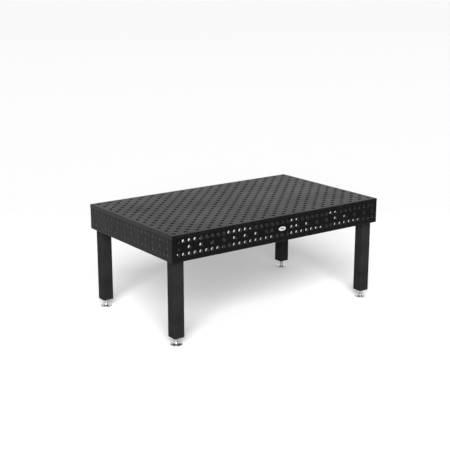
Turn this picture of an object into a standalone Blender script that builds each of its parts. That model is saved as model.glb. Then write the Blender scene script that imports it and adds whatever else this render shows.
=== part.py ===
"""A perforated steel welding table on four square legs with screw-adjusted feet.

The table stands on the plane z = 0 with its centre over the origin. Its long side runs along X,
its front faces -Y. Holes are drawn as regular polygons that a round pin of the hole's size passes.
"""

import math

import bpy

# Driving dimensions, in metres
TABLE_LENGTH = 2.0
TABLE_WIDTH = 1.2
TABLE_HEIGHT = 0.85
BOX_HEIGHT = 0.2
PLATE = 0.024
GAP = 0.0003  # left between pieces that touch

# The hole system
HOLE_DIAMETER = 0.028
HOLE_PITCH = 0.05
HOLE_SIDES = 5
SIDE_ROWS = (0.05, 0.1, 0.15)  # below the top face
BADGE_CLEARANCE = 0.075  # no hole of the middle row is nearer to the badge

# Ribs under the top
RIB = 0.012
RIB_DEPTH = 0.192  # of the lower edge, below the top face
RIB_NOTCH = 0.05
CROSS_RIBS = {"left": 0.525, "middle": 1.022, "right": 1.525}  # from the left end
LONG_RIB = 0.625  # from the front face

# Corners
GUSSET = 0.01
GUSSET_REACH = 0.125  # from the table's end
GUSSET_INSET = 0.075  # between the first and second hole rows
GUSSET_DEPTH = 0.155
MOUNT = 0.014
MOUNT_REACH = 0.108
MOUNT_RAISE = 0.001  # above the side plates' lower edge

# Legs
LEG_SIDE = 0.09
LEG_WALL = 0.004
LEG_CORNER = 0.006
LEG_INSET = 0.075  # from the leg's axis to both outer faces
LEG_CLEARANCE = 0.061  # of the leg's lower end above the floor
LEG_PLATE = 0.014
BOLT_SPACING = 0.03
BOLT_DIAMETER = 0.012
BOLT_LENGTH = 0.026
BOLT_HEAD = (0.018, 0.012)  # diameter and height

# Feet
SPINDLE_DIAMETER = 0.024
SPINDLE_TOP = 0.125
SPINDLE_SHOULDER = 0.0243
PILOT_DIAMETER = 0.014
PILOT_END = 0.0103
CHAMFER = 0.0015
NUT_FLATS = 0.036
NUT_HEIGHT = 0.012
FOOT_DIAMETER = 0.09
FOOT_RIM = 0.006
FOOT_CONE = 0.06  # diameter where the rim's flat meets the cone
FOOT_HUB = (0.034, 0.024)  # diameter and height
RUNNING = 0.0006  # radial clearance of the feet's round fits

# Badge
BADGE_SIZE = (0.068, 0.033)
BADGE_THICKNESS = 0.0015

# Smoothness of round pieces
ROUND_STEPS = 16
FOOT_STEPS = 24
BOLT_STEPS = 8
CORNER_STEPS = 3

TOP_UNDERSIDE = TABLE_HEIGHT - PLATE
BOX_BOTTOM = TABLE_HEIGHT - BOX_HEIGHT
LEG_TOP = BOX_BOTTOM + MOUNT_RAISE - GAP
CORNERS = {
    "front_left": (-1, -1),
    "front_right": (1, -1),
    "back_left": (-1, 1),
    "back_right": (1, 1),
}
FACING_FRONT = (math.pi / 2, 0, 0)  # drawn X stays X, drawn Y becomes Z
FACING_END = (math.pi / 2, 0, math.pi / 2)  # drawn X becomes Y, drawn Y becomes Z


def clear_scene():
    for item in list(bpy.data.objects):
        bpy.data.objects.remove(item)


def make_material(name, colour, roughness, metallic):
    material = bpy.data.materials.new(name)
    material.use_nodes = True
    shader = material.node_tree.nodes["Principled BSDF"]
    shader.inputs["Base Color"].default_value = (*colour, 1)
    shader.inputs["Roughness"].default_value = roughness
    shader.inputs["Metallic"].default_value = metallic
    return material


def add(collection, name, data, location=(0, 0, 0), rotation=(0, 0, 0)):
    """One named object of the table, holding a mesh or a curve."""
    item = bpy.data.objects.new(name, data)
    item.location = location
    item.rotation_euler = rotation
    collection.objects.link(item)
    return item


def polygon(sides, radius, centre=(0, 0), scale=(1, 1)):
    """Corners of a regular polygon with its first flat facing down."""
    turn = -math.pi / 2 + math.pi / sides
    angles = [turn + 2 * math.pi * i / sides for i in range(sides)]
    return [
        (centre[0] + scale[0] * radius * math.cos(a), centre[1] + scale[1] * radius * math.sin(a))
        for a in angles
    ]


def hole(diameter, sides, centre):
    """A polygon whose flats lie on the circle, so a pin of that diameter passes."""
    return polygon(sides, diameter / 2 / math.cos(math.pi / sides), centre)


def rectangle(width, height):
    x, y = width / 2, height / 2
    return [(-x, -y), (x, -y), (x, y), (-x, y)]


def rounded_square(side, radius):
    points = []
    for quarter in range(4):
        start = quarter * math.pi / 2
        reach = side / 2 - radius
        middle = (
            reach * math.copysign(1, math.cos(start + math.pi / 4)),
            reach * math.copysign(1, math.sin(start + math.pi / 4)),
        )
        for step in range(CORNER_STEPS + 1):
            angle = start + step * math.pi / 2 / CORNER_STEPS
            points.append(
                (middle[0] + radius * math.cos(angle), middle[1] + radius * math.sin(angle))
            )
    return points


def flat_piece(name, outlines, thickness, material):
    """A plate drawn as closed outlines: the first is its edge, the others are its holes."""
    curve = bpy.data.curves.new(name, "CURVE")
    curve.dimensions = "2D"
    curve.fill_mode = "BOTH"
    curve.extrude = thickness / 2
    for outline in outlines:
        spline = curve.splines.new("POLY")
        spline.points.add(len(outline) - 1)
        for point, (x, y) in zip(spline.points, outline):
            point.co = (x, y, 0, 1)
        spline.use_cyclic_u = True
    curve.materials.append(material)
    return curve


def turned_piece(name, profile, material):
    """A mesh of the profile's edges, which a Screw modifier turns about Z."""
    mesh = bpy.data.meshes.new(name)
    points = [(radius, 0, height) for radius, height in profile]
    edges = [(i, i + 1) for i in range(len(points) - 1)]
    mesh.from_pydata(points, edges, [])
    mesh.materials.append(material)
    return mesh


def turn(item, steps):
    screw = item.modifiers.new("turned", "SCREW")
    screw.steps = steps
    screw.render_steps = steps
    screw.use_merge_vertices = True
    screw.merge_threshold = 0.0001
    screw.use_normal_calculate = False
    screw.use_smooth_shade = True


def block(collection, name, size, centre, material):
    bpy.ops.mesh.primitive_cube_add(size=1, location=centre, scale=size)
    item = bpy.context.object
    item.name = name
    item.data.name = name
    item.data.transform(item.matrix_basis.to_3x3().to_4x4())
    item.scale = (1, 1, 1)
    item.data.materials.append(material)
    for holder in list(item.users_collection):
        holder.objects.unlink(item)
    collection.objects.link(item)
    return item


def columns(length):
    """Places along a length, measured from its middle, with a pitch left at both ends."""
    return [HOLE_PITCH * i - length / 2 for i in range(1, round(length / HOLE_PITCH))]


def top_holes():
    """A square grid at twice the pitch, and the same grid again in the middle of its squares."""
    across, along = columns(TABLE_LENGTH), columns(TABLE_WIDTH)
    outer = [(x, y) for x in across[::2] for y in along[::2]]
    inner = [(x, y) for x in across[1::2] for y in along[1::2]]
    return outer + inner


def middle_row(length, badge):
    """Every second column. Beside the badge's place the nearest holes move outwards."""
    places = columns(length)[::2]
    if not badge:
        return places
    return [x if abs(x) > BADGE_CLEARANCE else math.copysign(2 * HOLE_PITCH, x) for x in places]


def side_holes(length, badge):
    """(place along the plate, height below the top face) of each hole of a side plate."""
    upper, middle, lower = SIDE_ROWS
    rows = ((upper, columns(length)), (middle, middle_row(length, badge)), (lower, columns(length)))
    return [(x, depth) for depth, row in rows for x in row]


def side_plate(name, length, hole_span, badge, material):
    height = BOX_HEIGHT - PLATE - GAP
    middle = BOX_BOTTOM + height / 2
    places = [(x, TABLE_HEIGHT - depth - middle) for x, depth in side_holes(hole_span, badge)]
    outlines = [rectangle(length, height)]
    outlines += [hole(HOLE_DIAMETER, HOLE_SIDES, place) for place in places]
    return flat_piece(name, outlines, PLATE, material), middle


def add_box(collection, material):
    """The top plate and the four side plates."""
    outlines = [rectangle(TABLE_LENGTH, TABLE_WIDTH)]
    outlines += [hole(HOLE_DIAMETER, HOLE_SIDES, place) for place in top_holes()]
    top = flat_piece("top_plate", outlines, PLATE, material)
    add(collection, "top_plate", top, (0, 0, TABLE_HEIGHT - PLATE / 2))

    for name, sign in (("side_front", -1), ("side_back", 1)):
        curve, middle = side_plate(name, TABLE_LENGTH, TABLE_LENGTH, True, material)
        place = (0, sign * (TABLE_WIDTH - PLATE) / 2, middle)
        add(collection, name, curve, place, FACING_FRONT)

    between = TABLE_WIDTH - 2 * PLATE - 2 * GAP
    for name, sign in (("side_left", -1), ("side_right", 1)):
        curve, middle = side_plate(name, between, TABLE_WIDTH, False, material)
        place = (sign * (TABLE_LENGTH - PLATE) / 2, 0, middle)
        add(collection, name, curve, place, FACING_END)


def cross_rib_outline():
    """Notched at both upper corners, with a half-lap slot from below for the long rib."""
    half = TABLE_WIDTH / 2 - PLATE - GAP
    top, bottom = TOP_UNDERSIDE - GAP, TABLE_HEIGHT - RIB_DEPTH
    lap = (top + bottom) / 2 + GAP / 2
    slot = LONG_RIB - TABLE_WIDTH / 2
    near, far = slot - RIB / 2 - GAP, slot + RIB / 2 + GAP
    return [
        (-half, bottom),
        (near, bottom),
        (near, lap),
        (far, lap),
        (far, bottom),
        (half, bottom),
        (half, top - RIB_NOTCH),
        (half - RIB_NOTCH, top - RIB_NOTCH),
        (half - RIB_NOTCH, top),
        (RIB_NOTCH - half, top),
        (RIB_NOTCH - half, top - RIB_NOTCH),
        (-half, top - RIB_NOTCH),
    ]


def long_rib_outline():
    """One length from end plate to end plate, slotted from above at each cross rib."""
    half = TABLE_LENGTH / 2 - PLATE - GAP
    top, bottom = TOP_UNDERSIDE - GAP, TABLE_HEIGHT - RIB_DEPTH
    lap = (top + bottom) / 2 - GAP / 2
    points = [(-half, bottom), (half, bottom), (half, top)]
    for place in sorted(CROSS_RIBS.values(), reverse=True):
        slot = place - TABLE_LENGTH / 2
        near, far = slot - RIB / 2 - GAP, slot + RIB / 2 + GAP
        points += [(far, top), (far, lap), (near, lap), (near, top)]
    return points + [(-half, top)]


def add_ribs(collection, material):
    for side, place in CROSS_RIBS.items():
        name = f"rib_cross_{side}"
        curve = flat_piece(name, [cross_rib_outline()], RIB, material)
        add(collection, name, curve, (place - TABLE_LENGTH / 2, 0, 0), FACING_END)
    curve = flat_piece("rib_long", [long_rib_outline()], RIB, material)
    place = (0, LONG_RIB - TABLE_WIDTH / 2, 0)
    add(collection, "rib_long", curve, place, FACING_FRONT)


def corner_place(signs, inset_x, inset_y):
    """A point in from one corner of the table, as X and Y."""
    return (
        signs[0] * (TABLE_LENGTH / 2 - inset_x),
        signs[1] * (TABLE_WIDTH / 2 - inset_y),
    )


def bolt_places():
    half = BOLT_SPACING / 2
    return [(-half, -half), (half, -half), (half, half), (-half, half)]


def add_corner_pieces(collection, material):
    """A gusset under the top and the plate that the leg is bolted to, in each corner."""
    start = PLATE + GAP
    gusset_top = TOP_UNDERSIDE - GAP
    gusset_height = gusset_top - (TABLE_HEIGHT - GUSSET_DEPTH)
    gusset_length = GUSSET_REACH - start
    mount_side = MOUNT_REACH - start
    mount_inset = start + mount_side / 2
    shift = mount_inset - LEG_INSET

    for corner, signs in CORNERS.items():
        x, y = corner_place(signs, start + gusset_length / 2, GUSSET_INSET)
        size = (gusset_length, GUSSET, gusset_height)
        centre = (x, y, gusset_top - gusset_height / 2)
        block(collection, f"gusset_{corner}", size, centre, material)

        name = f"leg_mount_{corner}"
        outlines = [rectangle(mount_side, mount_side)]
        for px, py in bolt_places():
            place = (px + signs[0] * shift, py + signs[1] * shift)
            outlines.append(hole(BOLT_DIAMETER + 2 * RUNNING, BOLT_STEPS, place))
        curve = flat_piece(name, outlines, MOUNT, material)
        x, y = corner_place(signs, mount_inset, mount_inset)
        add(collection, name, curve, (x, y, BOX_BOTTOM + MOUNT_RAISE + MOUNT / 2))


def add_legs(collection, paint, steel):
    """Square tubes with a plate in each end: the upper takes the bolts, the lower the foot."""
    tube_length = LEG_TOP - LEG_CLEARANCE
    bore = LEG_SIDE - 2 * LEG_WALL
    tube = flat_piece(
        "leg_tube",
        [rounded_square(LEG_SIDE, LEG_CORNER), rounded_square(bore, LEG_CORNER - LEG_WALL)],
        tube_length,
        paint,
    )
    inside = rounded_square(bore - 2 * GAP, LEG_CORNER - LEG_WALL)
    bolt_bores = [hole(BOLT_DIAMETER + 2 * GAP, BOLT_STEPS, place) for place in bolt_places()]
    head = flat_piece("leg_head_plate", [inside, *bolt_bores], LEG_PLATE, steel)
    spindle_bore = hole(SPINDLE_DIAMETER + 2 * RUNNING, ROUND_STEPS, (0, 0))
    base = flat_piece("leg_base_plate", [inside, spindle_bore], LEG_PLATE, paint)

    for corner, signs in CORNERS.items():
        x, y = corner_place(signs, LEG_INSET, LEG_INSET)
        add(collection, f"leg_tube_{corner}", tube, (x, y, LEG_CLEARANCE + tube_length / 2))
        add(collection, f"leg_head_plate_{corner}", head, (x, y, LEG_TOP - LEG_PLATE / 2))
        add(collection, f"leg_base_plate_{corner}", base, (x, y, LEG_CLEARANCE + LEG_PLATE / 2))


def bolt_profile():
    """From the middle of the head's top down to the shank's end, with the head's seat at zero."""
    head, height = BOLT_HEAD[0] / 2, BOLT_HEAD[1]
    shank = BOLT_DIAMETER / 2
    return [
        (0, height),
        (head, height),
        (head, 0),
        (shank, 0),
        (shank, -BOLT_LENGTH),
        (0, -BOLT_LENGTH),
    ]


def add_leg_bolts(collection, material):
    bolt = turned_piece("leg_bolt", bolt_profile(), material)
    seat = BOX_BOTTOM + MOUNT_RAISE + MOUNT + GAP
    for corner, signs in CORNERS.items():
        x, y = corner_place(signs, LEG_INSET, LEG_INSET)
        for number, (px, py) in enumerate(bolt_places(), 1):
            item = add(collection, f"leg_bolt_{corner}_{number}", bolt, (x + px, y + py, seat))
            turn(item, BOLT_STEPS)


def spindle_profile():
    """A plain cylinder at the thread's outer size, with a pilot that turns in the foot's hub."""
    radius, pilot = SPINDLE_DIAMETER / 2, PILOT_DIAMETER / 2
    return [
        (0, SPINDLE_TOP),
        (radius - CHAMFER, SPINDLE_TOP),
        (radius, SPINDLE_TOP - CHAMFER),
        (radius, SPINDLE_SHOULDER),
        (pilot, SPINDLE_SHOULDER),
        (pilot, PILOT_END),
        (0, PILOT_END),
    ]


def foot_profile():
    """A dished disc with a raised hub, and a blind socket for the spindle's pilot."""
    hub, height = FOOT_HUB[0] / 2, FOOT_HUB[1]
    socket = PILOT_DIAMETER / 2 + RUNNING
    floor = PILOT_END - GAP
    return [
        (0, floor),
        (socket, floor),
        (socket, height),
        (hub, height),
        (FOOT_CONE / 2, FOOT_RIM + CHAMFER),
        (FOOT_DIAMETER / 2 - CHAMFER, FOOT_RIM),
        (FOOT_DIAMETER / 2, FOOT_RIM - CHAMFER),
        (FOOT_DIAMETER / 2, 0),
        (0, 0),
    ]


def add_feet(collection, zinc, bright):
    """Each spindle's and nut's origin is on the leg's axis, where it turns."""
    disc = turned_piece("foot_disc", foot_profile(), zinc)
    spindle = turned_piece("foot_spindle", spindle_profile(), bright)
    nut = flat_piece(
        "lock_nut",
        [
            hole(NUT_FLATS, 6, (0, 0)),
            hole(SPINDLE_DIAMETER + 2 * RUNNING, ROUND_STEPS, (0, 0)),
        ],
        NUT_HEIGHT,
        bright,
    )
    for corner, signs in CORNERS.items():
        x, y = corner_place(signs, LEG_INSET, LEG_INSET)
        turn(add(collection, f"foot_disc_{corner}", disc, (x, y, 0)), FOOT_STEPS)
        turn(add(collection, f"foot_spindle_{corner}", spindle, (x, y, 0)), ROUND_STEPS)
        nut_middle = LEG_CLEARANCE - GAP - NUT_HEIGHT / 2
        add(collection, f"lock_nut_{corner}", nut, (x, y, nut_middle))


def add_badge(collection, material):
    """A blank oval plate on the middle of the front face."""
    oval = polygon(FOOT_STEPS, 0.5, scale=BADGE_SIZE)
    curve = flat_piece("badge", [oval], BADGE_THICKNESS, material)
    y = -(TABLE_WIDTH / 2 + GAP + BADGE_THICKNESS / 2)
    add(collection, "badge", curve, (0, y, TABLE_HEIGHT - SIDE_ROWS[1]), FACING_FRONT)


def main():
    clear_scene()
    table = bpy.data.collections.new("welding_table")
    bpy.context.scene.collection.children.link(table)

    nitrided = make_material("nitrided_steel", (0.045, 0.046, 0.048), 0.42, 0.7)
    rib_steel = make_material("rib_steel", (0.06, 0.06, 0.062), 0.5, 0.7)
    paint = make_material("black_paint", (0.03, 0.03, 0.031), 0.45, 0.0)
    bolt_steel = make_material("black_bolt_steel", (0.05, 0.05, 0.05), 0.35, 0.9)
    zinc = make_material("zinc_plate", (0.72, 0.73, 0.74), 0.25, 1.0)
    bright = make_material("bright_steel", (0.6, 0.61, 0.62), 0.3, 1.0)
    badge = make_material("badge_plate", (0.8, 0.8, 0.8), 0.35, 0.6)

    add_box(table, nitrided)
    add_ribs(table, rib_steel)
    add_corner_pieces(table, rib_steel)
    add_legs(table, paint, rib_steel)
    add_leg_bolts(table, bolt_steel)
    add_feet(table, zinc, bright)
    add_badge(table, badge)


main()
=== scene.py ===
"""The looks of a perforated steel welding table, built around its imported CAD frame.

Every piece is made in the row frame, in metres: X runs along the table, its front faces -Y and it
stands on z = 0. Sizes and places come from the boxes of the CAD nodes.
"""

import math
import random

import bmesh
import bpy
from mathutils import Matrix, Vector


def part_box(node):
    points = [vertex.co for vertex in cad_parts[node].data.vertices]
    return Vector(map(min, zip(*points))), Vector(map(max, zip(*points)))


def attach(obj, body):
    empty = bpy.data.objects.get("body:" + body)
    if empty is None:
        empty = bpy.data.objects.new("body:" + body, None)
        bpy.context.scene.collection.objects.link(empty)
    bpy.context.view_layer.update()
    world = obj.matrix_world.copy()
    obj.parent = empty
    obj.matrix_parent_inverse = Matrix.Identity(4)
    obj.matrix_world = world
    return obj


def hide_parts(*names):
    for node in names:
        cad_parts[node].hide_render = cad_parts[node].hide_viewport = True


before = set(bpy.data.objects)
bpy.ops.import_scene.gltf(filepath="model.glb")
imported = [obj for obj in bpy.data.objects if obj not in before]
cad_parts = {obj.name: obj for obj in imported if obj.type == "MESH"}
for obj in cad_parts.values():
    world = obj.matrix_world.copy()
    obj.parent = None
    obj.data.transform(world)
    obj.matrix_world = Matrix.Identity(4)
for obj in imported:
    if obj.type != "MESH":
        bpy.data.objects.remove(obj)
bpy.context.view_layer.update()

# The hole system, as in the CAD
PITCH = 0.05
SIDE_ROWS = 3
HOLE_RADIUS = 0.014
HOLE_CHAMFER = 0.0016
HOLE_SEGMENTS = 32
BADGE_CLEARANCE = 0.075  # no hole of the front's middle row is nearer to the badge

# Plates and legs
GAP = 0.0003  # between pieces that touch
EDGE_RADIUS = 0.002
PLATE_BEVEL = 0.0008
RIB_NOTCH = 0.05
LEG_RADIUS = 0.008
LEG_WALL = 0.004
CORNER_STEPS = 6
RUNNING = 0.0006  # clearance of a round fit

# Screws, spindles, nuts and feet
ROUND_SEGMENTS = 48
FOOT_SEGMENTS = 72
NUT_SEGMENTS = 96
SCREW_HEAD_RADIUS = 0.009
SCREW_RADIUS = 0.006
SOCKET_FLATS = 0.01
SOCKET_DEPTH = 0.006
SOCKET_RIM_RADIUS = 0.0062
THREAD_PITCH = 0.003
THREAD_DEPTH = 0.0018
THREAD_TURNS = 21
THREAD_SHAPE = ((0.0, 0.0), (0.22, 1.0), (0.36, 1.0), (0.62, 0.0))  # share of a turn, of the depth
SPINDLE_CHAMFER = 0.0015
PILOT_RADIUS = 0.007
NUT_FLATS = 0.036

# Welds
WELD_LEG = 0.0038
WELD_STEP = 0.0013
WELD_LENGTH = 0.04
WELD_SPACING = 0.2
WELD_END_MARGIN = 0.03  # of the long rib's seams
END_BEAD = (0.012, 0.06)  # reach of an upright bead above the ribs' lower edge
CROSSING_BEAD = (0.01, 0.05)  # the same, where two ribs cross

# Badge
BADGE_RIM = 0.0018
BADGE_RECESS = 0.0005
BADGE_BAR = (0.034, 0.0075)
OVAL_SEGMENTS = 96
STADIUM_STEPS = 8

# Camera
CAMERA_PLACE = (-4.4722, -6.0192, 2.6355)
CAMERA_LENS = 76.137  # millimetres, for a sensor 36 mm wide
CAMERA_YAW = 0.62781  # radians to the right
CAMERA_PITCH = 0.25887  # radians down

# Floor
FLOOR_REACH = 400.0
# Painted shade: the floor's colour is painted darker with distance behind the table, for the light
# falling off over the floor.
FLOOR_TONES_PAINTED_FALLOFF = (0.9, 0.73, 0.7)  # under the table, behind it and far off
FLOOR_PAINTED_FALLOFF_DEPTHS = (0.4, 3.2, 40.0)  # beyond the table's middle, where the tone starts to change

CORNERS = ("front_left", "front_right", "back_left", "back_right")
SEED = 7

# ------------------------------------------------------------------ meshes


def make_mesh(name, verts, faces, materials, tags=None, smooth_angle=30):
    """A clean mesh with outward normals. Edges sharper than the angle stay sharp."""
    mesh = bpy.data.meshes.new(name)
    mesh.from_pydata(verts, [], faces)
    for material in materials:
        mesh.materials.append(material)
    if tags:
        mesh.polygons.foreach_set("material_index", tags)
    bm = bmesh.new()
    bm.from_mesh(mesh)
    bmesh.ops.remove_doubles(bm, verts=bm.verts, dist=1e-6)
    bmesh.ops.recalc_face_normals(bm, faces=bm.faces)
    bm.to_mesh(mesh)
    bm.free()
    mesh.shade_smooth()
    mesh.set_sharp_from_angle(angle=math.radians(smooth_angle))
    return mesh


def stand_for(name, mesh, body, nodes=(), location=(0, 0, 0)):
    """A piece of the object: it rides on a body and takes the place of CAD nodes."""
    item = bpy.data.objects.new(name, mesh)
    item.location = location
    bpy.context.scene.collection.objects.link(item)
    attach(item, body)
    if nodes:
        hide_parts(*nodes)
    return item


def loft(loops, closed=False):
    """Faces between loops of equal length. The ends are capped, or joined to each other."""
    count = len(loops[0])
    verts = [point for loop in loops for point in loop]
    pairs = [(i, i + 1) for i in range(len(loops) - 1)]
    if closed:
        pairs.append((len(loops) - 1, 0))
    faces = [
        (a * count + i, a * count + (i + 1) % count, b * count + (i + 1) % count, b * count + i)
        for a, b in pairs
        for i in range(count)
    ]
    if not closed:
        last = (len(loops) - 1) * count
        faces.append(tuple(reversed(range(count))))
        faces.append(tuple(last + i for i in range(count)))
    return verts, faces


def circle(radius, z, segments):
    step = 2 * math.pi / segments
    return [(radius * math.cos(step * i), radius * math.sin(step * i), z) for i in range(segments)]


def turned(profile, segments):
    """A solid of revolution about Z from (radius, height) pairs."""
    return loft([circle(radius, z, segments) for radius, z in profile])


def rounded_square(side, radius, z):
    """A closed loop at one height, round the Z axis."""
    points = []
    steps = CORNER_STEPS
    for quarter in range(4):
        middle = quarter * math.pi / 2 + math.pi / 4
        reach = (side / 2 - radius) * math.sqrt(2)
        for step in range(steps + 1):
            angle = quarter * math.pi / 2 + step * math.pi / 2 / steps
            x = reach * math.cos(middle) + radius * math.cos(angle)
            y = reach * math.sin(middle) + radius * math.sin(angle)
            points.append((x, y, z))
    return points


def flat_plate(name, outline, place, thickness, material):
    """A plate from its outline, with every edge bevelled. place maps (u, v, w) to the frame."""
    bm = bmesh.new()
    near = [bm.verts.new(place(u, v, 0)) for u, v in outline]
    far = [bm.verts.new(place(u, v, thickness)) for u, v in outline]
    count = len(outline)
    bm.faces.new(near)
    bm.faces.new(reversed(far))
    for i in range(count):
        j = (i + 1) % count
        bm.faces.new((near[i], far[i], far[j], near[j]))
    bmesh.ops.bevel(
        bm, geom=bm.edges[:], offset=PLATE_BEVEL, segments=2, profile=0.6, affect="EDGES"
    )
    bmesh.ops.recalc_face_normals(bm, faces=bm.faces)
    mesh = bpy.data.meshes.new(name)
    bm.to_mesh(mesh)
    bm.free()
    mesh.materials.append(material)
    mesh.shade_smooth()
    mesh.set_sharp_from_angle(angle=math.radians(35))
    return mesh


# ------------------------------------------------------------------ pierced plates


def edge_arc(radius):
    """(inset, depth) points of a quarter-round edge, from the outer face to the plate's edge."""
    angles = [math.radians(a) for a in (0, 22.5, 45, 67.5, 90)]
    return [(radius * (1 - math.sin(a)), radius * (1 - math.cos(a))) for a in angles]


# The places of a pierced plate's materials in its list
FACE, EDGE, BORE, CHAMFER = range(4)


class PiercedPlate:
    """A plate divided into square cells, some of which have a chamfered round hole.

    u and v run in its outer face and w into it. insets gives how far each border lies inside the
    grid's end at each depth, in the order low u, high u, low v, high v.
    """

    def __init__(self, place, lines, pierced, depths, insets):
        self.place, self.lines, self.pierced = place, lines, pierced
        self.depths, self.insets = depths, insets
        self.last = [len(line) - 1 for line in lines]
        self.verts, self.faces, self.tags = [], [], []
        self.crossings = {}
        for ring in range(len(depths)):
            self.add_crossings(ring)
        for i in range(self.last[0]):
            for j in range(self.last[1]):
                self.add_cell(i, j)
        self.add_rim()

    def vertex(self, u, v, w):
        self.verts.append(self.place(u, v, w))
        return len(self.verts) - 1

    def face(self, corners, tag=FACE):
        self.faces.append(corners)
        self.tags.append(tag)

    def add_crossings(self, ring):
        """The crossings of the grid lines: all of them on the two faces, the border in between."""
        middle = 0 < ring < len(self.depths) - 1
        for i, u in enumerate(self.lines[0]):
            for j, v in enumerate(self.lines[1]):
                ends = (i == 0, i == self.last[0], j == 0, j == self.last[1])
                if middle and not any(ends):
                    continue
                low_u, high_u, low_v, high_v = [
                    self.insets[side][ring] * on for side, on in enumerate(ends)
                ]
                spot = (u + low_u - high_u, v + low_v - high_v, self.depths[ring])
                self.crossings[ring, i, j] = self.vertex(*spot)

    def cell_corners(self, ring, i, j):
        """In the order of the quarters, from the first one on."""
        steps = ((1, 1), (0, 1), (0, 0), (1, 0))
        return [self.crossings[ring, i + a, j + b] for a, b in steps]

    def add_cell(self, i, j):
        outer, inner = 0, len(self.depths) - 1
        if (i, j) not in self.pierced:
            for ring in (outer, inner):
                self.face(self.cell_corners(ring, i, j))
            return
        u = (self.lines[0][i] + self.lines[0][i + 1]) / 2
        v = (self.lines[1][j] + self.lines[1][j + 1]) / 2
        back, wide = self.depths[-1], HOLE_RADIUS + HOLE_CHAMFER
        profile = (
            (wide, 0),
            (HOLE_RADIUS, HOLE_CHAMFER),
            (HOLE_RADIUS, back - HOLE_CHAMFER),
            (wide, back),
        )
        rings = [
            [self.vertex(u + x, v + y, w) for x, y, w in circle(radius, w, HOLE_SEGMENTS)]
            for radius, w in profile
        ]
        self.add_collar(rings[0], self.cell_corners(outer, i, j))
        self.add_collar(rings[-1], self.cell_corners(inner, i, j))
        for tag, (a, b) in zip((CHAMFER, BORE, CHAMFER), zip(rings, rings[1:])):
            for k in range(HOLE_SEGMENTS):
                m = (k + 1) % HOLE_SEGMENTS
                self.face((a[k], a[m], b[m], b[k]), tag)

    def add_collar(self, ring, corners):
        """Triangles from a hole's circle out to its cell's four corners."""
        quarter = HOLE_SEGMENTS // 4
        for q, corner in enumerate(corners):
            for k in range(q * quarter, (q + 1) * quarter):
                self.face((corner, ring[k], ring[(k + 1) % HOLE_SEGMENTS]))
            end = ring[(q + 1) * quarter % HOLE_SEGMENTS]
            self.face((corner, end, corners[(q + 1) % 4]))

    def add_rim(self):
        last_u, last_v = self.last
        border = [(i, 0) for i in range(last_u)]
        border += [(last_u, j) for j in range(last_v)]
        border += [(i, last_v) for i in range(last_u, 0, -1)]
        border += [(0, j) for j in range(last_v, 0, -1)]
        for ring in range(len(self.depths) - 1):
            tag = EDGE if self.depths[ring] < EDGE_RADIUS else FACE
            for k, spot in enumerate(border):
                other = border[(k + 1) % len(border)]
                near = (self.crossings[(ring, *spot)], self.crossings[(ring, *other)])
                far = (self.crossings[(ring + 1, *other)], self.crossings[(ring + 1, *spot)])
                self.face((*near, *far), tag)

    def mesh(self, name, materials):
        return make_mesh(name, self.verts, self.faces, materials, self.tags, 25)


def grid_lines(low, high, first, count):
    """Cell borders for holes at first + PITCH * i, with the plate's ends beyond them."""
    return [low] + [first + PITCH * (i - 0.5) for i in range(count + 1)] + [high]


# ------------------------------------------------------------------ node materials


def add_node(tree, kind, inputs=None, **settings):
    """A shader node. Its inputs are set to values, or linked if they are sockets."""
    node = tree.nodes.new(f"ShaderNode{kind}")
    for key, value in settings.items():
        setattr(node, key, value)
    for key, value in (inputs or {}).items():
        if isinstance(value, bpy.types.NodeSocket):
            tree.links.new(value, node.inputs[key])
        else:
            node.inputs[key].default_value = value
    return node


def noise(tree, vector, scale, detail=3.0, roughness=0.5):
    values = {"Vector": vector, "Scale": scale, "Detail": detail, "Roughness": roughness}
    return add_node(tree, "TexNoise", values).outputs["Fac"]


def stretched(tree, vector, scale, rotation=(0, 0, 0)):
    values = {"Vector": vector, "Scale": scale, "Rotation": rotation}
    return add_node(tree, "Mapping", values).outputs["Vector"]


def remap(tree, value, low, high, to_low, to_high):
    values = {
        "Value": value,
        "From Min": low,
        "From Max": high,
        "To Min": to_low,
        "To Max": to_high,
    }
    return add_node(tree, "MapRange", values).outputs["Result"]


def mix(tree, factor, first, second, mode="MIX"):
    node = add_node(tree, "Mix", data_type="RGBA", blend_type=mode)
    for index, value in ((0, factor), (6, first), (7, second)):
        if isinstance(value, bpy.types.NodeSocket):
            tree.links.new(value, node.inputs[index])
        else:
            node.inputs[index].default_value = value
    return node.outputs[2]


def calculate(tree, operation, first, second):
    return add_node(tree, "Math", {0: first, 1: second}, operation=operation).outputs[0]


def bump(tree, height, distance, strength):
    values = {"Height": height, "Distance": distance, "Strength": strength}
    return add_node(tree, "Bump", values).outputs["Normal"]


def grey(level, tint=(1, 1, 1)):
    return (level * tint[0], level * tint[1], level * tint[2], 1)


def new_material(name):
    """An empty Principled material, its tree, shader and object coordinates."""
    material = bpy.data.materials.new(name)
    material.use_nodes = True
    tree = material.node_tree
    shader = tree.nodes["Principled BSDF"]
    coordinates = add_node(tree, "TexCoord").outputs["Object"]
    return material, tree, shader, coordinates


def connect(tree, shader, **sockets):
    for name, value in sockets.items():
        target = shader.inputs[name.replace("_", " ")]
        if isinstance(value, bpy.types.NodeSocket):
            tree.links.new(value, target)
        else:
            target.default_value = value


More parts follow.
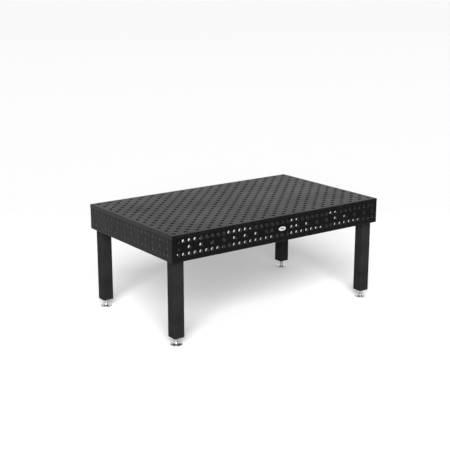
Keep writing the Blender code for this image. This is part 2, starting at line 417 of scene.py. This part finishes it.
def dark_steel(name, level, roughness, along, specular=0.5, metallic=0.0, wear=0.3):
    """Nitrided or scaled steel: clouds, rolling grain, pores and thin scratches along one axis."""
    material, tree, shader, place = new_material(name)
    grain_scale = [340.0, 340.0, 340.0]
    grain_scale[along] = 7.0
    clouds = noise(tree, place, 3.2, 5.0, 0.55)
    patches = noise(tree, place, 21.0, 4.0, 0.6)
    grain = noise(tree, stretched(tree, place, grain_scale), 1.0, 3.0, 0.6)
    pores = noise(tree, place, 1500.0, 2.0, 0.6)
    scratch_scale = [1700.0, 1700.0, 1700.0]
    scratch_scale[along] = 11.0
    scratches = [
        noise(tree, stretched(tree, place, scratch_scale, turn), 1.0, 1.0, 0.4)
        for turn in ((0.0, 0.05, 0.16), (0.06, 0.0, -0.23))
    ]
    lines = calculate(tree, "MAXIMUM", *scratches)
    lines = remap(tree, lines, 0.74, 0.8, 0.0, 1.0)

    tone = calculate(tree, "ADD", clouds, calculate(tree, "MULTIPLY", patches, 0.6))
    tone = remap(tree, tone, 0.55, 1.05, 0.0, 1.0)
    warm, cool = grey(level * 0.8, (1, 0.99, 0.98)), grey(level * 1.2, (0.98, 1, 1.03))
    colour = mix(tree, tone, warm, cool)
    streak = remap(tree, grain, 0.3, 0.7, 0.86, 1.14)
    streak_colour = add_node(tree, "CombineColor", {0: streak, 1: streak, 2: streak}).outputs[0]
    colour = mix(tree, 1.0, colour, streak_colour, "MULTIPLY")
    bare = calculate(tree, "MULTIPLY", lines, wear)
    colour = mix(tree, bare, colour, grey(min(1.0, level * 3.5 + 0.05)))

    rough = remap(tree, tone, 0.0, 1.0, roughness * 1.15, roughness * 0.88)
    rough = calculate(tree, "ADD", rough, remap(tree, grain, 0.3, 0.7, -0.03, 0.03))
    height = calculate(tree, "ADD", grain, calculate(tree, "MULTIPLY", pores, 0.7))
    height = calculate(tree, "SUBTRACT", height, calculate(tree, "MULTIPLY", lines, 0.8))
    connect(
        tree,
        shader,
        Base_Color=colour,
        Roughness=rough,
        Metallic=metallic,
        Specular_IOR_Level=specular,
        Normal=bump(tree, height, 0.00006, strength=0.5),
    )
    return material


def machined_edge(name, level, roughness, specular):
    """A chamfer, bore or rounded edge, with cutter marks and rubbed patches."""
    material, tree, shader, place = new_material(name)
    marks = noise(tree, stretched(tree, place, (150.0, 150.0, 2400.0)), 1.0, 2.0, 0.5)
    rubbed = noise(tree, place, 34.0, 4.0, 0.65)
    tone = remap(tree, rubbed, 0.35, 0.7, 0.0, 1.0)
    colour = mix(tree, tone, grey(level * 0.8), grey(level * 1.5))
    connect(
        tree,
        shader,
        Base_Color=colour,
        Roughness=remap(tree, marks, 0.3, 0.7, roughness * 0.85, roughness * 1.15),
        Metallic=0.2,
        Specular_IOR_Level=specular,
        Normal=bump(tree, marks, 0.00004, strength=0.5),
    )
    return material


def powder_coat(name, level, roughness, specular):
    """Black powder coat: a fine orange peel, with slow changes of tone and a little dust."""
    material, tree, shader, place = new_material(name)
    peel = noise(tree, place, 620.0, 2.0, 0.45)
    fine = noise(tree, place, 2600.0, 1.0, 0.5)
    slow = noise(tree, place, 6.5, 4.0, 0.6)
    dust = remap(tree, noise(tree, place, 950.0, 2.0, 0.7), 0.68, 0.78, 0.0, 0.3)
    tone = calculate(tree, "ADD", slow, calculate(tree, "MULTIPLY", peel, 0.6))
    tone = remap(tree, tone, 0.55, 1.05, 0.0, 1.0)
    colour = mix(tree, tone, grey(level * 0.7), grey(level * 1.3, (0.99, 1, 1.01)))
    colour = mix(tree, dust, colour, grey(0.16))
    height = calculate(tree, "ADD", peel, calculate(tree, "MULTIPLY", fine, 0.25))
    connect(
        tree,
        shader,
        Base_Color=colour,
        Roughness=remap(tree, slow, 0.3, 0.7, roughness * 0.9, roughness * 1.12),
        Specular_IOR_Level=specular,
        Normal=bump(tree, height, 0.00022, strength=0.6),
    )
    return material


def turned_metal(name, colour_low, colour_high, roughness):
    """Bright plated or turned metal, with tool rings round the piece's own Z axis."""
    material, tree, shader, place = new_material(name)
    wave = add_node(
        tree,
        "TexWave",
        {"Vector": place, "Scale": 900.0, "Distortion": 1.4, "Detail": 2.0, "Detail Scale": 0.6},
        wave_type="RINGS",
        rings_direction="Z",
    ).outputs["Fac"]
    cloud = noise(tree, place, 55.0, 4.0, 0.6)
    speck = noise(tree, place, 1900.0, 2.0, 0.6)
    tone = remap(tree, cloud, 0.3, 0.7, 0.0, 1.0)
    height = calculate(tree, "ADD", wave, calculate(tree, "MULTIPLY", speck, 0.4))
    connect(
        tree,
        shader,
        Base_Color=mix(tree, tone, colour_low, colour_high),
        Roughness=remap(tree, cloud, 0.3, 0.7, roughness * 0.75, roughness * 1.3),
        Metallic=1.0,
        Normal=bump(tree, height, 0.00003, strength=0.45),
    )
    return material


def weld_metal(name):
    """A weld bead: scaly grey with straw and blue heat colours."""
    material, tree, shader, place = new_material(name)
    heat = noise(tree, place, 60.0, 3.0, 0.5)
    scale_marks = noise(tree, place, 900.0, 3.0, 0.6)
    warm = mix(tree, remap(tree, heat, 0.35, 0.6, 0, 1), grey(0.22), (0.19, 0.155, 0.12, 1))
    cold = mix(tree, remap(tree, heat, 0.55, 0.72, 0, 1), warm, (0.11, 0.125, 0.16, 1))
    connect(
        tree,
        shader,
        Base_Color=cold,
        Metallic=0.75,
        Roughness=remap(tree, scale_marks, 0.3, 0.7, 0.3, 0.55),
        Normal=bump(tree, scale_marks, 0.0001, strength=0.6),
    )
    return material


def brushed_plate(name, level, roughness, metallic):
    """Thin plate with a straight brushed grain."""
    material, tree, shader, place = new_material(name)
    grain = noise(tree, stretched(tree, place, (3.0, 1800.0, 1800.0)), 1.0, 3.0, 0.6)
    tone = remap(tree, grain, 0.3, 0.7, 0.0, 1.0)
    connect(
        tree,
        shader,
        Base_Color=mix(tree, tone, grey(level * 0.92), grey(min(1.0, level * 1.06))),
        Metallic=metallic,
        Roughness=remap(tree, grain, 0.3, 0.7, roughness * 0.85, roughness * 1.2),
        Normal=bump(tree, grain, 0.00002, strength=0.4),
    )
    return material


# ------------------------------------------------------------------ the box


def top_plate(materials):
    low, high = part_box("top_plate")
    thick = high.z - low.z
    columns = round((high.x - low.x) / PITCH) - 1
    rows = round((high.y - low.y) / PITCH) - 1
    lines = (
        grid_lines(low.x, high.x, low.x + PITCH, columns),
        grid_lines(low.y, high.y, low.y + PITCH, rows),
    )
    cells = [(i, j) for i in range(1, columns + 1) for j in range(1, rows + 1)]
    pierced = {(i, j) for i, j in cells if (i - j) % 2 == 0}
    arc = edge_arc(EDGE_RADIUS)
    depths = [w for _, w in arc] + [thick]
    inset = [o for o, _ in arc] + [0]

    def place(u, v, w):
        return (u, v, high.z - w)

    plate = PiercedPlate(place, lines, pierced, depths, [inset] * 4)
    mesh = plate.mesh("top_plate_look", materials)
    stand_for("top_plate_look", mesh, "table", ["top_plate"])


def side_pierced(columns, badge):
    """The cells with a hole. Rows count up from the lowest, columns from the left end."""
    cells = {(i, j) for i in range(1, columns + 1) for j in (1, 3)}
    middle = (columns + 1) / 2
    for i in range(1, columns + 1, 2):
        near = abs(i - middle) * PITCH < BADGE_CLEARANCE
        if not (badge and near):
            cells.add((i, 2))
    if badge:
        cells |= {(int(middle - 2), 2), (int(middle + 2), 2)}
    return cells


def side_plates(materials_x, materials_y):
    """Four plates, mitred at the corners, that run up to the top plate's underside."""
    top_low, top_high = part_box("top_plate")
    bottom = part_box("side_front")[0].z
    arc = edge_arc(EDGE_RADIUS)
    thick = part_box("side_front")[1].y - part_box("side_front")[0].y
    depths = [w for _, w in arc] + [thick - PLATE_BEVEL, thick]
    free = [o for o, _ in arc] + [0, PLATE_BEVEL]
    mitre = [max(o, w) for o, w in arc] + [thick - PLATE_BEVEL, thick]
    joint = [0] * len(depths)
    insets = [mitre, mitre, free, joint]
    for side in ("front", "back", "left", "right"):
        long_side = side in ("front", "back")
        axis = 0 if long_side else 1
        low, high = top_low[axis], top_high[axis]
        columns = round((high - low) / PITCH) - 1
        lines = (
            grid_lines(low, high, low + PITCH, columns),
            grid_lines(bottom, top_low.z, top_high.z - SIDE_ROWS * PITCH, SIDE_ROWS),
        )
        face = (top_low if side in ("front", "left") else top_high)[1 - axis]
        inward = 1 if side in ("front", "left") else -1

        def place(u, v, w):
            across = face + inward * w
            return (u, across, v) if long_side else (across, u, v)

        plate = PiercedPlate(place, lines, side_pierced(columns, long_side), depths, insets)
        name = f"side_{side}_look"
        mesh = plate.mesh(name, materials_x if long_side else materials_y)
        stand_for(name, mesh, "table", [f"side_{side}"])


# ------------------------------------------------------------------ inside the box


def rib_outlines():
    """{node: (outline, place, thickness)} of the four ribs, from their boxes."""
    long_low, long_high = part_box("rib_long")
    bottom, top = long_low.z, long_high.z
    middle = (top + bottom) / 2
    crossings = []
    ribs = {}
    for name in ("left", "middle", "right"):
        low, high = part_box(f"rib_cross_{name}")
        crossings.append((low.x, high.x))
        near, far = long_low.y - GAP, long_high.y + GAP
        lap = middle + GAP / 2
        outline = [
            (low.y, bottom),
            (near, bottom),
            (near, lap),
            (far, lap),
            (far, bottom),
            (high.y, bottom),
            (high.y, top - RIB_NOTCH),
            (high.y - RIB_NOTCH, top - RIB_NOTCH),
            (high.y - RIB_NOTCH, top),
            (low.y + RIB_NOTCH, top),
            (low.y + RIB_NOTCH, top - RIB_NOTCH),
            (low.y, top - RIB_NOTCH),
        ]
        start = low.x
        ribs[f"rib_cross_{name}"] = (
            outline,
            lambda u, v, w, start=start: (start + w, u, v),
            high.x - low.x,
        )
    lap = middle - GAP / 2
    outline = [(long_low.x, bottom), (long_high.x, bottom), (long_high.x, top)]
    for near, far in reversed(crossings):
        outline += [(far + GAP, top), (far + GAP, lap), (near - GAP, lap), (near - GAP, top)]
    outline.append((long_low.x, top))
    ribs["rib_long"] = (
        outline,
        lambda u, v, w: (u, long_low.y + w, v),
        long_high.y - long_low.y,
    )
    return ribs


def inner_plates(material):
    """The ribs and the corners' gussets."""
    for node, (outline, place, thickness) in rib_outlines().items():
        name = f"{node}_look"
        mesh = flat_plate(name, outline, place, thickness, material)
        stand_for(name, mesh, "table", [node])
    for corner in CORNERS:
        node = f"gusset_{corner}"
        low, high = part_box(node)
        outline = [(low.x, low.z), (high.x, low.z), (high.x, high.z), (low.x, high.z)]

        def place(u, v, w):
            return (u, low.y + w, v)

        mesh = flat_plate(f"{node}_look", outline, place, high.y - low.y, material)
        stand_for(f"{node}_look", mesh, "table", [node])


class Beads:
    """Fillet weld beads with ripples, collected into one mesh."""

    def __init__(self):
        self.verts, self.faces = [], []
        self.random = random.Random(SEED)

    def bead(self, start, end, first, second):
        """From start to end in the corner between two plates that run along first and second."""
        start, end = Vector(start), Vector(end)
        first, second = Vector(first), Vector(second)
        length = (end - start).length
        steps = max(6, round(length / WELD_STEP))  # a ripple is two steps long
        loops = []
        for k in range(steps + 1):
            t = k / steps
            along = min(t, 1 - t) * length
            swell = math.sqrt(min(1.0, along / WELD_LEG + 0.02))
            ripple = 0.93 + 0.07 * (k % 2) + 0.03 * self.random.uniform(-1, 1)
            size = WELD_LEG * swell * ripple
            middle = start.lerp(end, t)
            loop = [middle + (first + second) * 0.0001]
            for step in range(6):
                angle = math.radians(step * 18)
                bulge = size * (0.78 + 0.22 * abs(math.cos(2 * angle)))
                loop.append(middle + bulge * (math.cos(angle) * first + math.sin(angle) * second))
            loops.append(loop)
        verts, faces = loft(loops)
        base = len(self.verts)
        self.verts += verts
        self.faces += [tuple(base + i for i in face) for face in faces]

    def upright(self, x, y, heights, first, second):
        self.bead((x, y, heights[0]), (x, y, heights[1]), first, second)

    def stitches(self, start, end, side):
        """Short beads at equal distances along a seam under the top, on one side of a rib."""
        start, end = Vector(start), Vector(end)
        length = (end - start).length
        count = max(1, round(length / WELD_SPACING))
        direction = (end - start).normalized()
        for k in range(count):
            middle = start + direction * length * (k + 0.5) / count
            half = direction * WELD_LENGTH / 2
            self.bead(middle - half, middle + half, side, (0, 0, -1))

    def finish(self, name, material):
        """One piece from all the beads."""
        mesh = make_mesh(name, self.verts, self.faces, [material], smooth_angle=60)
        stand_for(name, mesh, "table")


def weld_seams(material):
    """The ribs' beads: stitches under the top, and upright ones at the ends and crossings."""
    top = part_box("top_plate")[0].z
    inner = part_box("side_front")[1].y
    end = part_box("side_left")[1].x
    beads = Beads()
    long_low, long_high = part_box("rib_long")
    upright = [long_low.z + height for height in END_BEAD]
    crossing = [long_low.z + height for height in CROSSING_BEAD]
    for name in ("left", "middle", "right"):
        low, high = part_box(f"rib_cross_{name}")
        for x, side in ((low.x, (-1, 0, 0)), (high.x, (1, 0, 0))):
            for y0, y1 in ((inner + RIB_NOTCH, long_low.y), (long_high.y, -inner - RIB_NOTCH)):
                beads.stitches((x, y0, top), (x, y1, top), side)
            for y, away in ((inner, (0, 1, 0)), (-inner, (0, -1, 0))):
                beads.upright(x, y, upright, side, away)
            for y, away in ((long_low.y, (0, -1, 0)), (long_high.y, (0, 1, 0))):
                beads.upright(x, y, crossing, side, away)
    for y, side in ((long_low.y, (0, -1, 0)), (long_high.y, (0, 1, 0))):
        start, stop = end + WELD_END_MARGIN, -end - WELD_END_MARGIN
        beads.stitches((start, y, top), (stop, y, top), side)
        for x, away in ((end, (1, 0, 0)), (-end, (-1, 0, 0))):
            beads.upright(x, y, upright, side, away)
    beads.finish("rib_welds", material)


# ------------------------------------------------------------------ legs


def node_axis(node):
    """The middle of a node's box, as X and Y."""
    low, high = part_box(node)
    return (low.x + high.x) / 2, (low.y + high.y) / 2


def spindle_radius():
    low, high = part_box("foot_spindle_front_left")
    return (high.x - low.x) / 2


def leg_meshes(paint):
    """The tube and the plate in its lower end, round the Z axis at their own heights."""
    low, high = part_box("leg_tube_front_left")
    side = high.x - low.x
    base_low, base_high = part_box("leg_base_plate_front_left")
    cut = PLATE_BEVEL
    inner = LEG_RADIUS - LEG_WALL
    bore = side - 2 * LEG_WALL
    tube = loft(
        [
            rounded_square(bore, inner, high.z),
            rounded_square(bore, inner, low.z + cut),
            rounded_square(bore + 2 * cut, inner + cut, low.z),
            rounded_square(side - 2 * cut, LEG_RADIUS - cut, low.z),
            rounded_square(side, LEG_RADIUS, low.z + cut),
            rounded_square(side, LEG_RADIUS, high.z - cut),
            rounded_square(side - 2 * cut, LEG_RADIUS - cut, high.z),
        ],
        closed=True,
    )
    plate_side = base_high.x - base_low.x
    base_bore = spindle_radius() + RUNNING
    levels = (base_low.z, base_high.z)
    return (
        make_mesh("leg_tube_look", *tube, [paint], smooth_angle=40),
        pierced_square("leg_base_look", plate_side, inner, base_bore, levels, paint),
    )


def pierced_square(name, side, radius, bore, levels, material):
    """A square plate with rounded corners and a round bore. Its lower edges are bevelled."""
    low, high = levels
    outline = rounded_square(side, radius, 0)
    angles = [math.atan2(y, x) for x, y, _ in outline]

    def bore_loop(extra, z):
        return [((bore + extra) * math.cos(a), (bore + extra) * math.sin(a), z) for a in angles]

    cut = PLATE_BEVEL
    loops = [
        bore_loop(cut, low),
        rounded_square(side - 2 * cut, max(radius - cut, 0.0002), low),
        rounded_square(side, radius, low + cut),
        rounded_square(side, radius, high),
        bore_loop(0, high),
        bore_loop(0, low + cut),
    ]
    return make_mesh(name, *loft(loops, closed=True), [material], smooth_angle=35)


def hex_radius(flats, angle):
    """Distance from a hexagon's middle to its edge in one direction."""
    sector = math.pi / 3
    offset = (angle + sector / 2) % sector - sector / 2
    return flats / 2 / math.cos(offset)


def hexagon(flats, z, segments, reach=math.inf):
    """A hexagonal loop with as many points as a circle, cut off at a radius."""
    step = 2 * math.pi / segments
    loop = []
    for i in range(segments):
        radius = min(hex_radius(flats, step * i), reach)
        loop.append((radius * math.cos(step * i), radius * math.sin(step * i), z))
    return loop


def cap_screw(material):
    """A socket head cap screw with its seat at z = 0, from the CAD bolt's box."""
    low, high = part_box("leg_bolt_front_left_1")
    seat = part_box("leg_mount_front_left")[1].z + GAP
    head_top, shank_end = high.z - seat, low.z - seat
    cut, fine_cut = 0.001, 0.0003

    def ring(radius, z):
        return circle(radius, z, ROUND_SEGMENTS)

    loops = [
        ring(SCREW_RADIUS - cut, shank_end),
        ring(SCREW_RADIUS, shank_end + cut),
        ring(SCREW_RADIUS, 0),
        ring(SCREW_HEAD_RADIUS - fine_cut, 0),
        ring(SCREW_HEAD_RADIUS, fine_cut),
        ring(SCREW_HEAD_RADIUS, head_top - cut),
        ring(SCREW_HEAD_RADIUS - cut, head_top),
        ring(SOCKET_RIM_RADIUS, head_top),
        hexagon(SOCKET_FLATS, head_top - 2 * fine_cut, ROUND_SEGMENTS),
        hexagon(SOCKET_FLATS, head_top - SOCKET_DEPTH, ROUND_SEGMENTS),
    ]
    return make_mesh("cap_screw_look", *loft(loops), [material], smooth_angle=28), seat


def legs(paint, bolt_steel):
    """Each leg's tube, lower end plate and four screws."""
    tube, base = leg_meshes(paint)
    screw, seat = cap_screw(bolt_steel)
    for corner in CORNERS:
        x, y = node_axis(f"leg_tube_{corner}")
        node = f"leg_tube_{corner}"
        stand_for(f"{node}_look", tube, "table", [node], (x, y, 0))
        node = f"leg_base_plate_{corner}"
        stand_for(f"{node}_look", base, "table", [node], (x, y, 0))
        for number in range(1, 5):
            node = f"leg_bolt_{corner}_{number}"
            place = (*node_axis(node), seat)
            stand_for(f"{node}_look", screw, "table", [node], place)


# ------------------------------------------------------------------ feet


def threaded_spindle(material):
    """A right-hand thread that follows its helix, with a plain pilot below and a chamfered end."""
    low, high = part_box("foot_spindle_front_left")
    radius = spindle_radius()
    root = radius - THREAD_DEPTH
    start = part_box("foot_disc_front_left")[1].z + RUNNING
    stop = start + THREAD_TURNS * THREAD_PITCH
    segments = ROUND_SEGMENTS
    per_turn = len(THREAD_SHAPE)
    rows = per_turn * (THREAD_TURNS + 2)

    def spot(row, i):
        turns, phase = divmod(row, per_turn)
        share, rise = THREAD_SHAPE[phase]
        size = root + rise * THREAD_DEPTH
        z = start + THREAD_PITCH * (turns - 1 + share + i / segments)
        if not start < z < stop:
            z, size = min(max(z, start), stop), root
        angle = 2 * math.pi * i / segments
        return (size * math.cos(angle), size * math.sin(angle), z)

    verts = [spot(row, i) for row in range(rows + per_turn) for i in range(segments)]
    faces = []
    for row in range(rows - 1):
        for i in range(segments):
            j, up = (i + 1, row) if i + 1 < segments else (0, row + per_turn)
            here, beside = row * segments + i, up * segments + j
            faces.append((here, beside, beside + segments, here + segments))
    shoulder, cut = start - GAP, SPINDLE_CHAMFER
    ends = (
        [(PILOT_RADIUS, low.z), (PILOT_RADIUS, shoulder), (root, shoulder), (root, start)],
        [(root, stop), (radius, stop + cut), (radius, high.z - cut), (radius - cut, high.z)],
    )
    for capped_first, end in zip((True, False), ends):
        end_verts, end_faces = turned(end, segments)
        end_faces.pop(-1 if capped_first else -2)
        base = len(verts)
        verts += end_verts
        faces += [tuple(base + k for k in face) for face in end_faces]
    return make_mesh("foot_spindle_look", verts, faces, [material], smooth_angle=24)


def lock_nut(material):
    """A hexagon nut whose corners are turned off at 30 degrees on both faces."""
    low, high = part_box("lock_nut_front_left")
    height = high.z - low.z
    bore = spindle_radius() + RUNNING
    mouth, mouth_depth = bore + 0.0008, 0.001
    washer = NUT_FLATS / 2 * 0.95

    def level(z):
        reach = washer + min(z, height - z) / math.tan(math.radians(30))
        return hexagon(NUT_FLATS, low.z + z, NUT_SEGMENTS, reach)

    def ring(radius, z):
        return circle(radius, z, NUT_SEGMENTS)

    heights = [0, 0.0004, 0.0008, 0.0012, 0.0016, 0.002, height / 2]  # close where corners round
    heights += [height - z for z in reversed(heights[:-1])]
    loops = [ring(bore, low.z + mouth_depth), ring(mouth, low.z)]
    loops += [level(z) for z in heights]
    loops += [ring(mouth, high.z), ring(bore, high.z - mouth_depth)]
    return make_mesh("lock_nut_look", *loft(loops, closed=True), [material], smooth_angle=22)


def foot_disc(plate, rim):
    """A turned disc: a rounded rim, a shallow dished flange and a raised hub with its socket."""
    low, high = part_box("foot_disc_front_left")
    radius = (high.x - low.x) / 2
    top = high.z
    pilot = PILOT_RADIUS + RUNNING
    rim_top, rim_end = (radius - 0.0001, 0.0049), (radius - 0.0008, 0)
    profile = [
        (0, 0.0102),
        (pilot, 0.0102),
        (pilot, top - 0.0008),
        (pilot + 0.0008, top),
        (0.0158, top),
        (0.0167, top - 0.0004),
        (0.017, top - 0.0012),
        (0.0173, 0.0135),
        (0.0182, 0.0112),
        (0.0205, 0.0099),
        (0.03, 0.0076),
        (0.0405, 0.006),
        (0.043, 0.0058),
        (radius - 0.0006, 0.0055),
        rim_top,
        (radius, 0.0044),
        (radius, 0.001),
        rim_end,
        (0, 0),
    ]
    verts, faces = turned(profile, FOOT_SEGMENTS)
    # The rim's outer side is tagged for a darker copy of the zinc: painted shade on the side that
    # faces away from the light.
    first, last = profile.index(rim_top), profile.index(rim_end)
    side = range(first * FOOT_SEGMENTS, last * FOOT_SEGMENTS)
    tags = [1 if k in side else 0 for k in range(len(faces))]
    return make_mesh("foot_disc_look", verts, faces, [plate, rim], tags, smooth_angle=24)


def feet(zinc, rim, bright):
    """Each leg's disc, spindle and lock nut, on three bodies."""
    spindle, nut, disc = threaded_spindle(bright), lock_nut(bright), foot_disc(zinc, rim)
    parts = (
        ("foot_disc", disc, "foot", "zinc_plate"),
        ("foot_spindle", spindle, "spindle", "bright_steel"),
        ("lock_nut", nut, "nut", "bright_steel"),
    )
    for corner in CORNERS:
        for kind, mesh, body, slot in parts:
            node = f"{kind}_{corner}"
            place = (*node_axis(node), 0)
            stand_for(f"{node}_look", mesh, f"{body}_{corner}", [node], place)


# ------------------------------------------------------------------ badge


def oval(width, height, y):
    step = 2 * math.pi / OVAL_SEGMENTS
    return [
        (width / 2 * math.cos(step * i), y, height / 2 * math.sin(step * i))
        for i in range(OVAL_SEGMENTS)
    ]


def badge(plate, dark):
    """A blank oval plate with a raised rim, and a plain dark bar across its middle."""
    low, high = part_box("badge")
    width, height = high.x - low.x, high.z - low.z
    back, front = high.y, low.y
    face = front + BADGE_RECESS
    steps = (
        (0, back),
        (0, front + 0.0005),
        (0.0002, front + 0.0001),
        (0.0005, front),
        (BADGE_RIM, front),
        (BADGE_RIM + BADGE_RECESS, face),
    )
    loops = [oval(width - 2 * inset, height - 2 * inset, y) for inset, y in steps]
    place = (0, 0, (low.z + high.z) / 2)
    mesh = make_mesh("badge_look", *loft(loops), [plate])
    stand_for("badge_look", mesh, "table", ["badge"], place)

    length, breadth = BADGE_BAR
    bar = [
        [(x, face - rise, z) for x, z in stadium(length - 2 * cut, breadth - 2 * cut)]
        for rise, cut in ((-0.0002, 0), (0.0002, 0), (0.0003, 0.0002))
    ]
    mesh = make_mesh("badge_bar_look", *loft(bar), [dark])
    stand_for("badge_bar_look", mesh, "table", (), place)


def stadium(width, height):
    """A bar with rounded ends, as (x, z)."""
    radius = height / 2
    points = []
    for side in (1, -1):
        for step in range(STADIUM_STEPS + 1):
            angle = math.pi * step / STADIUM_STEPS - math.pi / 2
            x = side * (width / 2 - radius + radius * math.cos(angle))
            points.append((x, side * radius * math.sin(angle)))
    return points


# ------------------------------------------------------------------ carried-over CAD nodes


def finish_cad_nodes(material):
    """The plates that stay as the CAD made them get the ribs' steel."""
    for corner in CORNERS:
        for kind in ("leg_mount", "leg_head_plate"):
            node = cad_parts[f"{kind}_{corner}"]
            for slot in node.material_slots:
                slot.material = material


# ------------------------------------------------------------------ stage, light and camera


def stage_card(name, corners):
    """One flat face of the studio."""
    mesh = bpy.data.meshes.new(name)
    mesh.from_pydata(corners, [], [(0, 1, 2, 3)])
    item = bpy.data.objects.new(name, mesh)
    bpy.context.scene.collection.objects.link(item)
    return item


def floor():
    """A pale floor whose colour is painted darker a little behind the table, along the camera's
    line of sight: painted shade for the light falling off.
    """
    reach = FLOOR_REACH
    corners = [(-reach, -reach, 0), (reach, -reach, 0), (reach, reach, 0), (-reach, reach, 0)]
    item = stage_card("floor", corners)
    material, tree, shader, place = new_material("studio_floor_painted_falloff")
    mottle = remap(tree, noise(tree, place, 1.3, 3.0), 0.3, 0.7, 0.0, 1.0)
    under, behind, far = FLOOR_TONES_PAINTED_FALLOFF
    start, middle, end = FLOOR_PAINTED_FALLOFF_DEPTHS
    along = {0: place, 1: (math.sin(CAMERA_YAW), math.cos(CAMERA_YAW), 0)}
    depth = add_node(tree, "VectorMath", along, operation="DOT_PRODUCT").outputs["Value"]
    colour = mix(tree, mottle, grey(under), grey(under + 0.015))
    # Painted shade: the colour darkens with depth along the camera's line of sight.
    colour = mix(tree, remap(tree, depth, start, middle, 0.0, 1.0), colour, grey(behind))
    colour = mix(tree, remap(tree, depth, middle, end, 0.0, 1.0), colour, grey(far))
    connect(
        tree,
        shader,
        Base_Color=colour,
        Roughness=0.75,
        Specular_IOR_Level=0.15,
    )
    item.data.materials.append(material)


def key_light(source, strength, breadth):
    """A very soft light from the front left, as even over the floor as a distant softbox."""
    light = bpy.data.lights.new("key", "SUN")
    light.energy = strength
    light.angle = math.radians(breadth)
    item = bpy.data.objects.new("key", light)
    item.rotation_euler = Vector(source).to_track_quat("Z", "Y").to_euler()
    bpy.context.scene.collection.objects.link(item)


def dark_flag(left, right, y, top):
    """A studio flag that only reflections see. It keeps the front face from mirroring the floor."""
    item = stage_card("flag", [(left, y, 0), (right, y, 0), (right, y, top), (left, y, top)])
    material, tree, shader, place = new_material("flag_cloth")
    weave = remap(tree, noise(tree, place, 900.0), 0.3, 0.7, 0.9, 1.0)
    connect(tree, shader, Base_Color=grey(0.02), Roughness=weave, Specular_IOR_Level=0.0)
    item.data.materials.append(material)
    for kind in ("camera", "diffuse", "transmission", "volume_scatter", "shadow"):
        setattr(item, f"visible_{kind}", False)


def studio_world():
    """A pale surround, brighter low down and to the right, and white where the camera sees it."""
    world = bpy.data.worlds.new("studio")
    bpy.context.scene.world = world
    world.use_nodes = True
    tree = world.node_tree
    background = tree.nodes["Background"]
    direction = add_node(tree, "TexCoord").outputs["Generated"]
    parts = add_node(tree, "SeparateXYZ", {"Vector": direction}).outputs
    horizon, zenith = 0.69, 0.45
    left, right = 0.48, 1.52
    height = remap(tree, parts["Z"], 0.0, 1.0, horizon, zenith)
    side = remap(tree, parts["X"], -1.0, 1.0, left, right)
    level = calculate(tree, "MULTIPLY", height, side)
    seen = add_node(tree, "LightPath").outputs["Is Camera Ray"]
    lit = add_node(tree, "CombineColor", {0: level, 1: level, 2: level}).outputs[0]
    tree.links.new(mix(tree, seen, lit, (1, 1, 1, 1)), background.inputs["Color"])


def camera():
    """A short telephoto lens well above the table, from the front left."""
    data = bpy.data.cameras.new("camera")
    data.sensor_width, data.lens = 36.0, CAMERA_LENS
    data.clip_start, data.clip_end = 0.1, 2000.0
    item = bpy.data.objects.new("camera", data)
    item.location = CAMERA_PLACE
    item.rotation_euler = (math.pi / 2 - CAMERA_PITCH, 0, -CAMERA_YAW)
    bpy.context.scene.collection.objects.link(item)
    bpy.context.scene.camera = item


def studio():
    floor()
    studio_world()
    key_light(source=(-0.75, -1.0, 0.67), strength=5.6, breadth=40)
    dark_flag(left=-1.3, right=2.8, y=-1.5, top=1.2)
    camera()
    bpy.context.scene.view_settings.view_transform = "Standard"


def build():
    # Painted light: the top and the sides are one nitrided steel, but the top's copy has its colour
    # painted lighter than the sides' copies, for the brighter light that falls on the top.
    nitrided_top_painted_lighter = dark_steel("nitrided_steel_top_painted_lighter", 0.013, 0.34, 0, specular=0.0945)
    nitrided_x = dark_steel("nitrided_steel_x", 0.004, 0.34, 0, specular=0.125)
    nitrided_y = dark_steel("nitrided_steel_y", 0.004, 0.34, 1, specular=0.085)
    nitrided_edge = machined_edge("nitrided_edge", 0.006, 0.34, specular=0.16)
    # Lit and shaded copies of one bore finish. The top's bores and chamfers are painted darker, as
    # painted shade in the holes. The side bores are painted lighter and the end bores lighter
    # still, as painted light on their lit walls.
    top_bore_painted_shade = machined_edge("nitrided_bore_top_painted_shade", 0.003, 0.5, specular=0.06)
    side_bore_painted_light = machined_edge("nitrided_bore_side_painted_light", 0.021, 0.42, specular=0.2)
    end_bore_painted_light = machined_edge("nitrided_bore_end_painted_light", 0.032, 0.42, specular=0.2)
    rib_steel = dark_steel("mill_scale_steel", 0.03, 0.5, 0, metallic=0.3, wear=0.5)
    paint = powder_coat("black_powder_coat", 0.014, 0.42, specular=0.01)
    black_oxide = dark_steel("black_oxide", 0.03, 0.32, 2, metallic=0.5)
    zinc = turned_metal("zinc_plate_turned", grey(0.68), grey(0.82, (0.98, 1, 1.02)), 0.26)
    # A darker copy of the zinc for the discs' rims: painted shade on their outer sides.
    rim = turned_metal("zinc_rim_painted_shade", grey(0.3), grey(0.4), 0.4)
    bright = turned_metal("bright_steel_turned", grey(0.55), grey(0.68, (1, 0.99, 0.97)), 0.28)
    welds = weld_metal("weld_metal")
    badge_face = brushed_plate("badge_aluminium", 0.52, 0.35, 0.3)
    badge_dark = brushed_plate("badge_bar_enamel", 0.03, 0.4, 0.0)

    # The top takes the painted-lighter steel and the painted-shade bores. The sides take the
    # painted-light bores.
    top_plate([nitrided_top_painted_lighter, nitrided_edge, top_bore_painted_shade, top_bore_painted_shade])
    side_plates(
        [nitrided_x, nitrided_edge, side_bore_painted_light, nitrided_edge],
        [nitrided_y, nitrided_edge, end_bore_painted_light, end_bore_painted_light],
    )
    inner_plates(rib_steel)
    weld_seams(welds)
    legs(paint, black_oxide)
    feet(zinc, rim, bright)
    badge(badge_face, badge_dark)
    finish_cad_nodes(rib_steel)


build()
studio()
